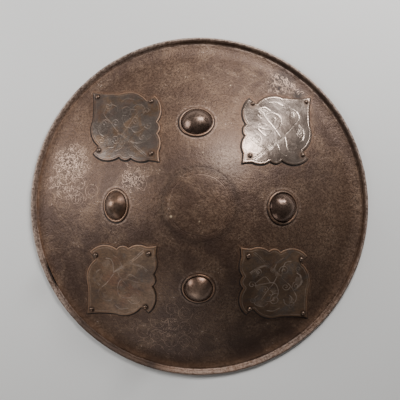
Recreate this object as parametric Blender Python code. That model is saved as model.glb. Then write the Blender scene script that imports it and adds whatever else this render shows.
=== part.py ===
"""A round convex steel shield with a rolled rim, four domed bosses and four riveted plaques.

The shield lies on its rim with the bosses up. The origin is under the middle of the dome, on
the plane that the rim rests on. +Z is the shield's axis, +Y is its upper edge as it is held,
and +X is its right side as seen from the front. All sizes are in metres.
"""

import math

import bmesh
import bpy
from mathutils import Matrix, Vector
from mathutils.geometry import delaunay_2d_cdt

# Plate: a round crown, a straight flank, a flare and a flattened rim roll, beaten from one sheet
overall_diameter = 0.420
sheet = 0.0015
crown_radius = 0.197
flank_slope = math.radians(33.5)
flare_radius = 0.033
rim_band = 0.0086
rim_roll_width = 0.0070
rim_roll_height = 0.0046

# Fits: touching pieces stand a little apart, and inner ones further, past the plate's facets
seat_gap = 0.0003
bore_gap = 0.0003
facet_error = 0.0002
inner_gap = seat_gap + facet_error

# Bosses: a dome on a thin flange, one on each side of the middle, shaped and set out by eye.
# Each has a width down the slope and a width across it.
boss_circle_radius = 0.1006
boss_angles = {"east": -1.7, "north": 92.0, "west": 180.3, "south": 269.3}
boss_widths = {
    "east": (0.0440, 0.0414),
    "north": (0.0424, 0.0434),
    "west": (0.0356, 0.0409),
    "south": (0.0407, 0.0407),
}
boss_dome_height = 0.0105
boss_flange_width = 0.0033
boss_flange_thickness = 0.0012

# Ring bolts behind the bosses, with the washers and the loose rings that they hold
bolt_diameter = 0.0040
bolt_reach_in_boss = 0.0065
bolt_collar_diameter = 0.0090
bolt_collar_thickness = 0.0016
bolt_eye_opening = 0.0070
bolt_eye_wire = 0.0032
bolt_eye_sunk = 0.0010
washer_diameter = 0.0170
washer_thickness = 0.0010
ring_mean_diameter = 0.0260
ring_wire = 0.0035

# Plaques: thin cusped sheets on the diagonals, bent to the dome. The outline is given in plan,
# from the corner nearest the middle, along one side to the far corner. Each point has the
# height by which the arc to the next point swells, below zero where it is hollow.
plaque_thickness = 0.0012
plaque_rim_margin = 0.0171
plaque_angles = {"northeast": 44.2, "northwest": 133.1, "southwest": 223.8, "southeast": 314.0}
plaque_side = (
    ((0.0000, 0.0000), -0.0004),
    ((0.0130, 0.0014), 0.0031),
    ((0.0346, 0.0037), 0.0034),
    ((0.0491, 0.0049), 0.0068),
    ((0.0826, 0.0098), -0.0010),
    ((0.0760, 0.0186), 0.0054),
    ((0.0852, 0.0504), -0.0012),
)
plaque_far_corner = (0.0866, 0.0866)
plaque_tab_tip = plaque_side[4][0]
plaque_cell = 0.0140
outline_error = 0.0004

# Rivets: one at each corner of a plaque, with a domed head outside and a peened tail inside
rivet_head_diameter = 0.0056
rivet_head_height = 0.0024
rivet_head_steps = 2
rivet_shank_diameter = 0.0024
rivet_tail_diameter = 0.0042
rivet_tail_height = 0.0009
rivet_inset_inner = 0.0097
rivet_inset_outer = 0.0062
rivet_inset_tab = (0.0078, -0.0033)

# Meshing: the facets round each turned piece, and the fineness of the rest
plate_segments = 52
boss_segments = 16
rivet_segments = 8
bolt_segments = 8
washer_segments = 10
ring_segments = 12
wire_segments = 6
sharp_angle = math.radians(40)
settle_rounds = 8
merge_distance = 1e-7

# What follows from the plate's sizes
rim_radius = overall_diameter / 2
crown_edge = crown_radius * math.sin(flank_slope)
crown_rise = crown_radius * (1 - math.cos(flank_slope))
flare_end = rim_radius - rim_band
flare_start = flare_end - flare_radius * math.sin(flank_slope)
flare_rise = flare_radius * (1 - math.cos(flank_slope))
flank_rise = (flare_start - crown_edge) * math.tan(flank_slope)
dome_rise = sheet + flare_rise + flank_rise + crown_rise
drill_reach = 4 * sheet

# The distance from the axis to the corner of a plaque that is nearest the middle
plaque_inner_corner = rim_radius - plaque_rim_margin - math.hypot(*plaque_far_corner)


def steel(name, colour, roughness, metallic=0.85):
    """A dark patinated steel, one for each kind of piece."""
    material = bpy.data.materials.new(name)
    material.use_nodes = True
    shader = material.node_tree.nodes["Principled BSDF"]
    shader.inputs["Base Color"].default_value = (*colour, 1.0)
    shader.inputs["Roughness"].default_value = roughness
    shader.inputs["Metallic"].default_value = metallic
    return material


def arc_steps(radius, sweep, error):
    """How many chords follow an arc within an error."""
    widest_chord = 2 * math.acos(max(0.0, 1 - error / radius))
    return max(1, math.ceil(abs(sweep) / widest_chord))


def slope_at(radius):
    """The dome's slope at a distance from its axis."""
    if radius < crown_edge:
        return math.asin(radius / crown_radius)
    if radius < flare_start:
        return flank_slope
    if radius < flare_end:
        return math.asin((flare_end - radius) / flare_radius)
    return 0.0


def height_at(radius):
    """The height of the dome's outer surface at a distance from its axis."""
    if radius < crown_edge:
        return dome_rise - crown_radius * (1 - math.cos(slope_at(radius)))
    if radius < flare_start:
        return dome_rise - crown_rise - (radius - crown_edge) * math.tan(flank_slope)
    return sheet + flare_radius * (1 - math.cos(slope_at(radius)))


def normal_at(x, y):
    """The direction that the dome's outer surface faces over a point of the plan."""
    radius = math.hypot(x, y)
    slope = slope_at(radius)
    outward = Vector((x, y, 0.0)).normalized()
    return outward * math.sin(slope) + Vector((0.0, 0.0, math.cos(slope)))


def on_dome(x, y, lift):
    """The point over (x, y) on the dome's outer surface, lifted along the surface's normal."""
    surface = Vector((x, y, height_at(math.hypot(x, y))))
    return surface + normal_at(x, y) * lift


def frame_on_dome(x, y):
    """A frame on the dome's outer surface: x runs down the slope, z stands off the surface."""
    normal = normal_at(x, y)
    around = Vector((-y, x, 0.0)).normalized()
    down = around.cross(normal)
    frame = Matrix((down, around, normal)).transposed().to_4x4()
    frame.translation = on_dome(x, y, 0.0)
    return frame


def dome_below(frame, x, y):
    """How far the dome's surface lies along a frame's z axis, at a point of the frame's plane."""
    depth = 0.0
    for _ in range(settle_rounds):
        point = frame @ Vector((x, y, depth))
        miss = point.z - height_at(math.hypot(point.x, point.y))
        depth -= miss * frame.col[2].z
    return depth


def make_object(name, bm, material, frame=None):
    """Turns a bmesh into an object with smooth shading, placed by a frame."""
    mesh = bpy.data.meshes.new(name)
    bm.to_mesh(mesh)
    bm.free()
    mesh.materials.append(material)
    mesh.shade_smooth()
    mesh.set_sharp_from_angle(angle=sharp_angle)
    piece = bpy.data.objects.new(name, mesh)
    bpy.context.scene.collection.objects.link(piece)
    if frame is not None:
        piece.matrix_world = frame
    return piece


def make_cutter(name, bm, frame=None):
    """A hidden shape that a Boolean modifier uses."""
    mesh = bpy.data.meshes.new(name)
    bm.to_mesh(mesh)
    bm.free()
    cutter = bpy.data.objects.new(name, mesh)
    bpy.context.scene.collection.objects.link(cutter)
    cutter.hide_render = True
    cutter.display_type = "WIRE"
    if frame is not None:
        cutter.matrix_world = frame
    return cutter


def add_boolean(piece, cutter, operation):
    modifier = piece.modifiers.new(cutter.name, "BOOLEAN")
    modifier.operation = operation
    modifier.solver = "EXACT"
    modifier.object = cutter


def turned(profile, segments, closed=False):
    """Turns (radius, height) points about z. The profile runs down its outer side, and a point
    on the axis becomes one vertex. A closed profile makes a ring."""
    bm = bmesh.new()
    rings = []
    for radius, height in profile:
        count = segments if radius > 0 else 1
        angles = [2 * math.pi * turn / segments for turn in range(count)]
        corners = [(radius * math.cos(a), radius * math.sin(a), height) for a in angles]
        rings.append([bm.verts.new(corner) for corner in corners])
    pairs = list(zip(rings, rings[1:]))
    if closed:
        pairs.append((rings[-1], rings[0]))
    for upper, lower in pairs:
        for turn in range(segments):
            after = (turn + 1) % segments
            corners = [
                upper[turn % len(upper)],
                lower[turn % len(lower)],
                lower[after % len(lower)],
                upper[after % len(upper)],
            ]
            bm.faces.new(list(dict.fromkeys(corners)))
    return bm


def wire_ring(mean_diameter, wire_diameter):
    """A closed round ring of round wire, about z."""
    section = []
    for turn in range(wire_segments):
        angle = -2 * math.pi * turn / wire_segments
        radius = mean_diameter / 2 + wire_diameter / 2 * math.cos(angle)
        section.append((radius, wire_diameter / 2 * math.sin(angle)))
    return turned(section, ring_segments, closed=True)


def settle(bm, frame):
    """Bends a piece that is modelled over a flat plane so that the plane becomes the dome."""
    for vertex in bm.verts:
        vertex.co.z += dome_below(frame, vertex.co.x, vertex.co.y)


def arc(start, end, swell, error):
    """Points from start up to, not at, end, on an arc that swells to the right of the way."""
    start = Vector(start)
    end = Vector(end)
    chord = end - start
    half = chord.length / 2
    side = Vector((chord.y, -chord.x)).normalized()
    radius = (half * half + swell * swell) / (2 * swell)
    centre = (start + end) / 2 + side * (swell - radius)
    sweep = 4 * math.atan(swell / half)
    steps = arc_steps(abs(radius), sweep, error)
    spoke = start - centre
    return [centre + Matrix.Rotation(sweep * step / steps, 2) @ spoke for step in range(steps)]


def plaque_outline():
    """The plaque's outline in plan, anticlockwise, with the shield's middle as its origin."""
    side = []
    starts = list(plaque_side)
    ends = [point for point, _ in plaque_side[1:]] + [plaque_far_corner]
    for (start, swell), end in zip(starts, ends):
        side += arc(start, end, swell, outline_error)
    mirrored = [Vector((point.y, point.x)) for point in reversed(side[1:])]
    corner = plaque_inner_corner / math.sqrt(2)
    shift = Vector((corner, corner))
    return [point + shift for point in side + [Vector(plaque_far_corner)] + mirrored]


def plaque_rivets():
    """Each rivet's place in plan, by the corner of the plaque that it holds."""
    corner = plaque_inner_corner / math.sqrt(2)
    inner = corner + rivet_inset_inner
    outer = corner + plaque_far_corner[0] - rivet_inset_outer
    along = corner + plaque_tab_tip[0] - rivet_inset_tab[0]
    across = corner + plaque_tab_tip[1] - rivet_inset_tab[1]
    return {
        "inner": Vector((inner, inner)),
        "right": Vector((along, across)),
        "outer": Vector((outer, outer)),
        "left": Vector((across, along)),
    }


def hole_outline(place, diameter):
    """A round hole square to the dome, as it looks in plan."""
    frame = frame_on_dome(place.x, place.y)
    corners = []
    for turn in range(rivet_segments):
        angle = 2 * math.pi * turn / rivet_segments
        spoke = Vector((math.cos(angle), math.sin(angle), 0.0)) * diameter / 2
        corners.append((frame @ spoke).xy)
    return corners


def distance_to_outline(point, outline):
    """The shortest distance from a point to a closed outline."""
    nearest = math.inf
    for start, end in zip(outline, outline[1:] + outline[:1]):
        way = end - start
        share = max(0.0, min(1.0, (point - start).dot(way) / way.length_squared))
        nearest = min(nearest, (point - start - way * share).length)
    return nearest


def is_inside(point, outline):
    """Whether a point lies inside a closed outline."""
    inside = False
    for start, end in zip(outline, outline[1:] + outline[:1]):
        if (start.y > point.y) != (end.y > point.y):
            crossing = start.x + (point.y - start.y) / (end.y - start.y) * (end.x - start.x)
            inside ^= crossing > point.x
    return inside


def inner_points(outline, holes):
    """Points spread over the plaque, clear of its edges and holes, so that it can bend."""
    lowest = min(min(point.x, point.y) for point in outline)
    highest = max(max(point.x, point.y) for point in outline)
    count = math.ceil((highest - lowest) / plaque_cell)
    pitch = (highest - lowest) / count
    least_clear = pitch / 3
    points = []
    for row in range(1, count):
        for column in range(1, count):
            point = Vector((lowest + column * pitch, lowest + row * pitch))
            clear = min(distance_to_outline(point, loop) for loop in [outline] + holes)
            if clear > least_clear and is_inside(point, outline):
                points.append(point)
    return points


def bent_sheet(outline, holes, lift, thickness):
    """A sheet with holes, cut to an outline in plan and bent to the dome."""
    points = []
    edges = []
    for loop in [outline] + holes:
        first = len(points)
        points += loop
        edges += [(first + i, first + (i + 1) % len(loop)) for i in range(len(loop))]
    points += inner_points(outline, holes)
    flat, _, triangles, *_ = delaunay_2d_cdt(points, edges, [], 1, merge_distance)
    kept = []
    for triangle in triangles:
        middle = sum((flat[i] for i in triangle), Vector((0.0, 0.0))) / 3
        if not any(is_inside(middle, hole) for hole in holes):
            kept.append(triangle)
    bm = bmesh.new()
    lower = [bm.verts.new(on_dome(point.x, point.y, lift)) for point in flat]
    upper = [bm.verts.new(on_dome(point.x, point.y, lift + thickness)) for point in flat]
    sides = set()
    for triangle in kept:
        bm.faces.new([upper[i] for i in triangle])
        bm.faces.new([lower[i] for i in reversed(triangle)])
        sides |= {(triangle[i], triangle[(i + 1) % 3]) for i in range(3)}
    for start, end in sides:
        if (end, start) not in sides:
            bm.faces.new((lower[start], lower[end], upper[end], upper[start]))
    return bm


def make_plate(material, bolt_frames, rivet_frames):
    """The dome and its rolled rim, one sheet, drilled for the bolts and the rivets."""
    crown_steps = arc_steps(crown_radius, flank_slope, facet_error)
    flare_steps = arc_steps(flare_radius, flank_slope, facet_error)
    stations = [
        crown_radius * math.sin(flank_slope * step / crown_steps)
        for step in range(crown_steps + 1)
    ]
    stations += [
        flare_end - flare_radius * math.sin(flank_slope * step / flare_steps)
        for step in reversed(range(flare_steps + 1))
    ]
    outer = [(radius, height_at(radius)) for radius in stations]
    inner = [
        (radius - sheet * math.sin(slope_at(radius)), height - sheet * math.cos(slope_at(radius)))
        for radius, height in outer
    ]
    half_width = rim_roll_width / 2
    half_height = rim_roll_height / 2
    groove_end = math.pi + math.asin((half_height - sheet) / half_height)
    roll_bottom = -math.pi / 2
    roll_steps = arc_steps(half_width, groove_end - roll_bottom, facet_error)
    roll = []
    for step in range(roll_steps + 1):
        angle = groove_end + (roll_bottom - groove_end) * step / roll_steps
        radius = rim_radius - half_width + half_width * math.cos(angle)
        roll.append((radius, half_height + half_height * math.sin(angle)))
    bm = turned(outer + roll + inner[::-1], plate_segments)
    plate = make_object("shield_plate", bm, material)
    drills = bmesh.new()
    add_drills(drills, bolt_frames, bolt_diameter + 2 * bore_gap, bolt_segments)
    add_drills(drills, rivet_frames, rivet_shank_diameter + 2 * bore_gap, rivet_segments)
    add_boolean(plate, make_cutter("plate_drills", drills), "DIFFERENCE")
    return plate


def add_drills(bm, frames, diameter, segments):
    """Adds a drill through the plate at each frame."""
    radius = diameter / 2
    profile = [(0.0, drill_reach), (radius, drill_reach), (radius, -drill_reach), (0.0, -drill_reach)]
    for frame in frames:
        drill = turned(profile, segments)
        drill.transform(frame)
        mesh = bpy.data.meshes.new("drill")
        drill.to_mesh(mesh)
        drill.free()
        bm.from_mesh(mesh)
        bpy.data.meshes.remove(mesh)


def make_boss(name, material, frame, width_down, width_across):
    """A domed boss, solid, with a flange that follows the dome and a socket for the bolt. It is
    turned to its width across the slope, then stretched down the slope round the socket."""
    flange_top = seat_gap + boss_flange_thickness
    flange_edge = width_across / 2
    half_width = flange_edge - boss_flange_width
    cap_radius = (half_width**2 + boss_dome_height**2) / (2 * boss_dome_height)
    cap_sweep = 2 * math.atan(boss_dome_height / half_width)
    steps = arc_steps(cap_radius, cap_sweep, facet_error)
    profile = []
    for step in range(steps + 1):
        angle = cap_sweep * step / steps
        height = flange_top + boss_dome_height - cap_radius * (1 - math.cos(angle))
        profile.append((cap_radius * math.sin(angle), height))
    socket_radius = bolt_diameter / 2 + bore_gap
    socket_top = bolt_reach_in_boss + bore_gap
    profile += [
        (flange_edge, flange_top),
        (flange_edge, seat_gap),
        ((flange_edge + socket_radius) / 2, seat_gap),
        (socket_radius, seat_gap),
        (socket_radius, socket_top),
        (0.0, socket_top),
    ]
    bm = turned(profile, boss_segments)
    for vertex in bm.verts:
        if vertex.co.xy.length > socket_radius + bore_gap:
            vertex.co.x *= width_down / width_across
    settle(bm, frame)
    return make_object(name, bm, material, frame)


def make_washer(name, material, frame):
    """A flat washer against the inside of the plate, round the bolt."""
    top = -sheet - inner_gap
    bottom = top - washer_thickness
    hole = bolt_diameter / 2 + bore_gap
    outside = washer_diameter / 2
    profile = [(hole, bottom), (hole, top), (outside, top), (outside, bottom)]
    bm = turned(profile, washer_segments, closed=True)
    settle(bm, frame)
    return make_object(name, bm, material, frame)


def make_bolt(name, material, frame):
    """A forged bolt, with its shank through the plate, a collar under the washer and an eye.
    It returns the bolt and the middle of the eye, in the bolt's frame."""
    collar_top = -sheet - inner_gap - washer_thickness - seat_gap
    collar_bottom = collar_top - bolt_collar_thickness
    profile = [
        (0.0, bolt_reach_in_boss),
        (bolt_diameter / 2, bolt_reach_in_boss),
        (bolt_diameter / 2, collar_top),
        (bolt_collar_diameter / 2, collar_top),
        (bolt_collar_diameter / 2, collar_bottom),
        (0.0, collar_bottom),
    ]
    bolt = make_object(name, turned(profile, bolt_segments), material, frame)
    eye_outside = bolt_eye_opening / 2 + bolt_eye_wire
    eye_height = collar_bottom - eye_outside + bolt_eye_sunk
    eye_frame = frame @ Matrix.Translation((0.0, 0.0, eye_height))
    eye_frame = eye_frame @ Matrix.Rotation(math.pi / 2, 4, "X")
    eye = wire_ring(bolt_eye_opening + bolt_eye_wire, bolt_eye_wire)
    add_boolean(bolt, make_cutter(name + "_eye", eye, eye_frame), "UNION")
    return eye_frame.translation


def make_grip_ring(name, material, eye_middle):
    """A loose ring that hangs straight down in the eye, its flat side to the shield's middle."""
    drop = bolt_eye_opening / 2 - ring_wire / 2 - seat_gap + ring_mean_diameter / 2
    outward = Vector((eye_middle.x, eye_middle.y, 0.0)).normalized()
    frame = Vector((0.0, 0.0, 1.0)).rotation_difference(outward).to_matrix().to_4x4()
    frame.translation = eye_middle - Vector((0.0, 0.0, drop))
    return make_object(name, wire_ring(ring_mean_diameter, ring_wire), material, frame)


def make_rivet(name, material, frame):
    """A rivet through the plaque and the plate."""
    under_head = seat_gap + plaque_thickness + seat_gap
    over_tail = -sheet - inner_gap
    half_head = rivet_head_diameter / 2
    half_shank = rivet_shank_diameter / 2
    profile = []
    for step in range(rivet_head_steps + 1):
        angle = math.pi / 2 * step / rivet_head_steps
        profile.append((half_head * math.sin(angle), under_head + rivet_head_height * math.cos(angle)))
    profile += [
        (half_shank, under_head),
        (half_shank, over_tail),
        (rivet_tail_diameter / 2, over_tail),
        (0.0, over_tail - rivet_tail_height),
    ]
    return make_object(name, turned(profile, rivet_segments), material, frame)


def make_plaque(name, material, turn):
    """A cusped plaque, bent to the dome, with a hole for each rivet."""
    places = plaque_rivets()
    hole_diameter = rivet_shank_diameter + 2 * bore_gap
    holes = [hole_outline(place, hole_diameter) for place in places.values()]
    bm = bent_sheet(plaque_outline(), holes, seat_gap, plaque_thickness)
    return make_object(name, bm, material, Matrix.Rotation(turn, 4, "Z"))


def main():
    for old in list(bpy.data.objects):
        bpy.data.objects.remove(old)

    plate_steel = steel("plate_steel", (0.105, 0.070, 0.052), 0.50)
    boss_steel = steel("boss_steel", (0.075, 0.052, 0.042), 0.30)
    plaque_steel = steel("plaque_steel", (0.120, 0.100, 0.088), 0.42)
    rivet_steel = steel("rivet_steel", (0.080, 0.052, 0.038), 0.45)
    fitting_iron = steel("fitting_iron", (0.055, 0.042, 0.035), 0.60)

    boss_frames = {}
    for side, degrees in boss_angles.items():
        angle = math.radians(degrees)
        x = boss_circle_radius * math.cos(angle)
        y = boss_circle_radius * math.sin(angle)
        boss_frames[side] = frame_on_dome(x, y)
    for side, frame in boss_frames.items():
        make_boss("boss_" + side, boss_steel, frame, *boss_widths[side])
        make_washer("washer_" + side, fitting_iron, frame)
        eye_middle = make_bolt("ring_bolt_" + side, fitting_iron, frame)
        make_grip_ring("grip_ring_" + side, fitting_iron, eye_middle)

    rivet_frames = []
    for side, degrees in plaque_angles.items():
        turn = math.radians(degrees - 45)
        make_plaque("plaque_" + side, plaque_steel, turn)
        for corner, place in plaque_rivets().items():
            x, y = Matrix.Rotation(turn, 2) @ place
            frame = frame_on_dome(x, y)
            make_rivet("rivet_" + side + "_" + corner, rivet_steel, frame)
            rivet_frames.append(frame)

    make_plate(plate_steel, boss_frames.values(), rivet_frames)


main()
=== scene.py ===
"""The looks of a round steel shield: beaten plate, engraved plaques, bosses, rivets and rings.

Everything is in metres, in the frame's own axes: the shield lies on its rim with +Z out of its
front, and +Y is its upper edge as the photograph shows it.
"""

import math
import random

import bmesh
import bpy
import numpy as np
from mathutils import Matrix, Vector
from mathutils.geometry import delaunay_2d_cdt
from mathutils.kdtree import KDTree


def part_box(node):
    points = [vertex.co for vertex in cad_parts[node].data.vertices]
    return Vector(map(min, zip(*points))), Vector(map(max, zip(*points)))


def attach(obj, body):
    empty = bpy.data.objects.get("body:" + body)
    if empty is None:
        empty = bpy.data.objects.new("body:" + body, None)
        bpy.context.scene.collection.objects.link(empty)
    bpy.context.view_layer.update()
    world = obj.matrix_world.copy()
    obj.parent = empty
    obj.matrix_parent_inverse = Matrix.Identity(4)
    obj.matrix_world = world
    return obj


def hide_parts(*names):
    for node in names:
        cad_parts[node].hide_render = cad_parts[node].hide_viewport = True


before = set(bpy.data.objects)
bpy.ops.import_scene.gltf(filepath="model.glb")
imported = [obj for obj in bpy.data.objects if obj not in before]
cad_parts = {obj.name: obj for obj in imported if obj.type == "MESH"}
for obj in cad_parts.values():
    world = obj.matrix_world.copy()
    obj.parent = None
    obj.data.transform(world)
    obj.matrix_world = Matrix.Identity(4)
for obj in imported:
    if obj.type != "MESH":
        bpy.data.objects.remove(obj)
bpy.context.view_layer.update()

# The plate's form, as it was built
plate_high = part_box("shield_plate")[1]
dome_rise = plate_high.z
rim_reach = plate_high.x
rim_radius = 0.210
sheet = 0.0015
crown_radius = 0.197
flank_slope = math.radians(33.5)
flare_radius = 0.033
rim_band = 0.0086
rim_roll_width = 0.0070
rim_roll_height = 0.0046
rim_edge_radius = 0.0017
rim_crest = rim_reach - rim_edge_radius
rim_groove_width = 0.0012
rim_groove_depth = 0.0005
crown_edge = crown_radius * math.sin(flank_slope)
crown_rise = crown_radius * (1 - math.cos(flank_slope))
flare_end = rim_radius - rim_band
flare_start = flare_end - flare_radius * math.sin(flank_slope)

# Bosses and the fittings behind them
boss_circle_radius = 0.1006
boss_angles = {"east": -1.7, "north": 92.0, "west": 180.3, "south": 269.3}
boss_widths = {
    "east": (0.0440, 0.0414),
    "north": (0.0424, 0.0434),
    "west": (0.0356, 0.0409),
    "south": (0.0407, 0.0407),
}
boss_dome_height = 0.0105
boss_flange_width = 0.0033
boss_flange_thickness = 0.0012
bolt_radius = 0.0020
bolt_reach_in_boss = 0.0065
collar_radius = 0.0045
collar_thickness = 0.0016
eye_mean_radius = 0.0051
eye_wire_radius = 0.0016
eye_sunk = 0.0010
eye_opening_radius = eye_mean_radius - eye_wire_radius
washer_radius = 0.0085
washer_thickness = 0.0010
ring_mean_radius = 0.0130
ring_wire_radius = 0.00175

# Plaques and rivets. The outline runs in plan from the corner nearest the middle, along one
# side to the far corner, each point with the swell of the arc to the next.
plaque_thickness = 0.0012
plaque_rim_margin = 0.0171
plaque_angles = {"northeast": 44.2, "northwest": 133.1, "southwest": 223.8, "southeast": 314.0}
plaque_side = (
    ((0.0000, 0.0000), -0.0004),
    ((0.0130, 0.0014), 0.0031),
    ((0.0346, 0.0037), 0.0034),
    ((0.0491, 0.0049), 0.0068),
    ((0.0826, 0.0098), -0.0010),
    ((0.0760, 0.0186), 0.0054),
    ((0.0852, 0.0504), -0.0012),
)
plaque_tip = 4
plaque_far_corner = (0.0866, 0.0866)
plaque_inner_corner = rim_radius - plaque_rim_margin - math.hypot(*plaque_far_corner)
rivet_places = {
    "inner": (0.0097, 0.0097),
    "right": (0.0748, 0.0131),
    "outer": (0.0804, 0.0804),
    "left": (0.0131, 0.0748),
}
rivet_head_radius = 0.0028
rivet_head_height = 0.0024
rivet_shank_radius = 0.0012
rivet_tail_radius = 0.0021
rivet_tail_height = 0.0009
bore_gap = 0.0003
seat_gap = 0.0003
inner_gap = 0.0005
underside = seat_gap * 0.4

# How finely the pieces are meshed
plate_columns = 540
plate_pitch = 0.00175
inner_pitch = 0.0085
plaque_cells = 232
plaque_seed = 100
boss_seed = 200
rivet_seed = 300
seed_step = 10
boss_edge_steps = 60
drill_segments = 20
sharp_angle = math.radians(50)
settle_rounds = 8
tiny = 1e-9


def slope_at(radius):
    """The dome's slope at a distance from its axis, for arrays too."""
    on_crown = np.arcsin(np.clip(radius / crown_radius, 0, 1))
    on_flare = np.arcsin(np.clip((flare_end - radius) / flare_radius, 0, 1))
    return np.minimum(np.minimum(on_crown, flank_slope), on_flare)


def height_at(radius):
    """The height of the dome's outer surface at a distance from its axis."""
    slope = slope_at(radius)
    crown = dome_rise - crown_radius * (1 - np.cos(slope))
    flank = dome_rise - crown_rise - (radius - crown_edge) * math.tan(flank_slope)
    flare = sheet + flare_radius * (1 - np.cos(slope))
    return np.where(radius < crown_edge, crown, np.where(radius < flare_start, flank, flare))


def plane_waves(seed, count, shortest, longest):
    """Random plane waves, whose sum is a smooth uneven surface between about -1 and 1."""
    draw = np.random.default_rng(seed)
    length = shortest * (longest / shortest) ** draw.random(count)
    angle = draw.random(count) * 2 * math.pi
    phase = draw.random(count) * 2 * math.pi
    return 2 * math.pi / length * np.cos(angle), 2 * math.pi / length * np.sin(angle), phase


def bell(distance, reach):
    """1 where a distance is 0, falling away smoothly over a reach."""
    return np.exp(-((distance / reach) ** 2))


def unevenness(waves, x, y):
    """The height of a surface of plane waves over (x, y)."""
    total = 0
    for kx, ky, phase in zip(*waves):
        total = total + np.sin(kx * x + ky * y + phase)
    return total / math.sqrt(2 * len(waves[0]))


hammer_waves = plane_waves(3, 20, 0.016, 0.060)
hammer_depth = 0.00016
medallion_radii = (0.0371, 0.0388, 0.0450)
medallion_depths = (0.00022, 0.00010, 0.00010)
engraved_half_width = 0.0006
punch_radius = 0.0013
punch_depth = 0.0004


def beaten(x, y):
    """How far the plate's outer surface lies from the true dome: never outside it."""
    depth = -hammer_depth * (1 + unevenness(hammer_waves, x, y) / 2)
    radius = np.hypot(x, y)
    for ring, ring_depth in zip(medallion_radii, medallion_depths):
        across = np.clip(1 - np.abs(radius - ring) / engraved_half_width, 0, 1)
        depth = depth - ring_depth * across
    return depth - punch_depth * np.clip(1 - radius / punch_radius, 0, 1)


def on_dome(x, y, lift):
    """Points over (x, y) on the beaten dome, lifted along its normal. Arrays in, an array out."""
    x = np.asarray(x, dtype=float)
    y = np.asarray(y, dtype=float)
    radius = np.hypot(x, y)
    slope = slope_at(radius)
    safe = np.maximum(radius, tiny)
    out = np.sin(slope) * lift
    height = height_at(radius) + np.cos(slope) * lift
    return np.stack([x + x / safe * out, y + y / safe * out, height], -1)


def on_plate(plan, lift):
    """Points over plan places, lifted off the hammered plate."""
    x, y = plan[:, 0], plan[:, 1]
    return on_dome(x, y, beaten(x, y) + lift)


def frame_on_dome(x, y):
    """A frame on the dome: x runs down the slope, z stands off the surface."""
    slope = float(slope_at(math.hypot(x, y)))
    outward = Vector((x, y, 0.0)).normalized()
    normal = outward * math.sin(slope) + Vector((0.0, 0.0, math.cos(slope)))
    around = Vector((-outward.y, outward.x, 0.0))
    place = Matrix((around.cross(normal), around, normal)).transposed().to_4x4()
    place.translation = on_dome(x, y, 0.0)
    return place


def settle(points, place):
    """Bends points that are modelled over a flat plane so that the plane becomes the dome."""
    turn = np.array(place.to_3x3())
    origin = np.array(place.translation)
    drop = np.zeros(len(points))
    for _ in range(settle_rounds):
        flat = np.stack([points[:, 0], points[:, 1], drop], -1)
        world = flat @ turn.T + origin
        miss = world[:, 2] - height_at(np.hypot(world[:, 0], world[:, 1]))
        drop = drop - miss * turn[2, 2]
    settled = points.copy()
    settled[:, 2] += drop
    return settled @ turn.T + origin


def mesh_piece(name, points, faces, material, values=None):
    """An object from points and faces, with named values for each point."""
    mesh = bpy.data.meshes.new(name)
    mesh.from_pydata([tuple(point) for point in points], [], faces)
    for key, numbers in (values or {}).items():
        layer = mesh.attributes.new(key, "FLOAT", "POINT")
        layer.data.foreach_set("value", np.asarray(numbers, dtype=np.float32))
    mesh.materials.append(material)
    mesh.shade_smooth()
    mesh.set_sharp_from_angle(angle=sharp_angle)
    piece = bpy.data.objects.new(name, mesh)
    bpy.context.scene.collection.objects.link(piece)
    return piece


def stands_for(piece, node):
    """Lets a piece take the place of a solid."""
    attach(piece, "root")
    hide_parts(node)


def turned(profile, segments, closed=False):
    """Points and faces of a profile of (radius, height) turned about z. The profile runs down
    its outer side, and a point on the axis becomes one point."""
    points = []
    rings = []
    for radius, height in profile:
        count = segments if radius > 0 else 1
        rings.append((len(points), count))
        for step in range(count):
            angle = 2 * math.pi * step / segments
            points.append((radius * math.cos(angle), radius * math.sin(angle), height))
    pairs = list(zip(rings, rings[1:]))
    if closed:
        pairs.append((rings[-1], rings[0]))
    faces = []
    for (upper, upper_count), (lower, lower_count) in pairs:
        for step in range(segments):
            after = (step + 1) % segments
            corners = [
                upper + step % upper_count,
                lower + step % lower_count,
                lower + after % lower_count,
                upper + after % upper_count,
            ]
            faces.append(list(dict.fromkeys(corners)))
    return np.array(points), faces


def wire_ring(mean_radius, wire_radius, around, across):
    """Points and faces of a ring of round wire that lies flat."""
    section = []
    for step in range(across):
        angle = -2 * math.pi * step / across
        section.append((mean_radius + wire_radius * math.cos(angle), wire_radius * math.sin(angle)))
    return turned(section, around, closed=True)


def rounded(start, corner, end, radius, steps):
    """Points round a corner of a profile, from the side of start to the side of end."""
    corner = Vector(corner)
    first = corner + (Vector(start) - corner).normalized() * radius
    last = corner + (Vector(end) - corner).normalized() * radius
    points = []
    for step in range(steps + 1):
        share = step / steps
        point = first * (1 - share) ** 2 + corner * 2 * share * (1 - share) + last * share**2
        points.append(tuple(point))
    return points


def cut(piece, cutter, operation):
    """Cuts or joins a piece with another and keeps the result as its mesh."""
    modifier = piece.modifiers.new("cut", "BOOLEAN")
    modifier.operation = operation
    modifier.solver = "EXACT"
    modifier.object = cutter
    graph = bpy.context.evaluated_depsgraph_get()
    result = bpy.data.meshes.new_from_object(piece.evaluated_get(graph))
    piece.modifiers.clear()
    piece.data = result
    bpy.data.objects.remove(cutter)


def drills(places, radius, reach):
    """One object of round drills through the plate, one at each place."""
    points = []
    faces = []
    for place in places:
        profile = [(0.0, reach), (radius, reach), (radius, -reach), (0.0, -reach)]
        drill, drill_faces = turned(profile, drill_segments)
        shift = len(points)
        points += [place @ Vector(point) for point in drill]
        faces += [[shift + corner for corner in face] for face in drill_faces]
    return mesh_piece("drills", points, faces, bpy.data.materials[0])


# Outlines


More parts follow.
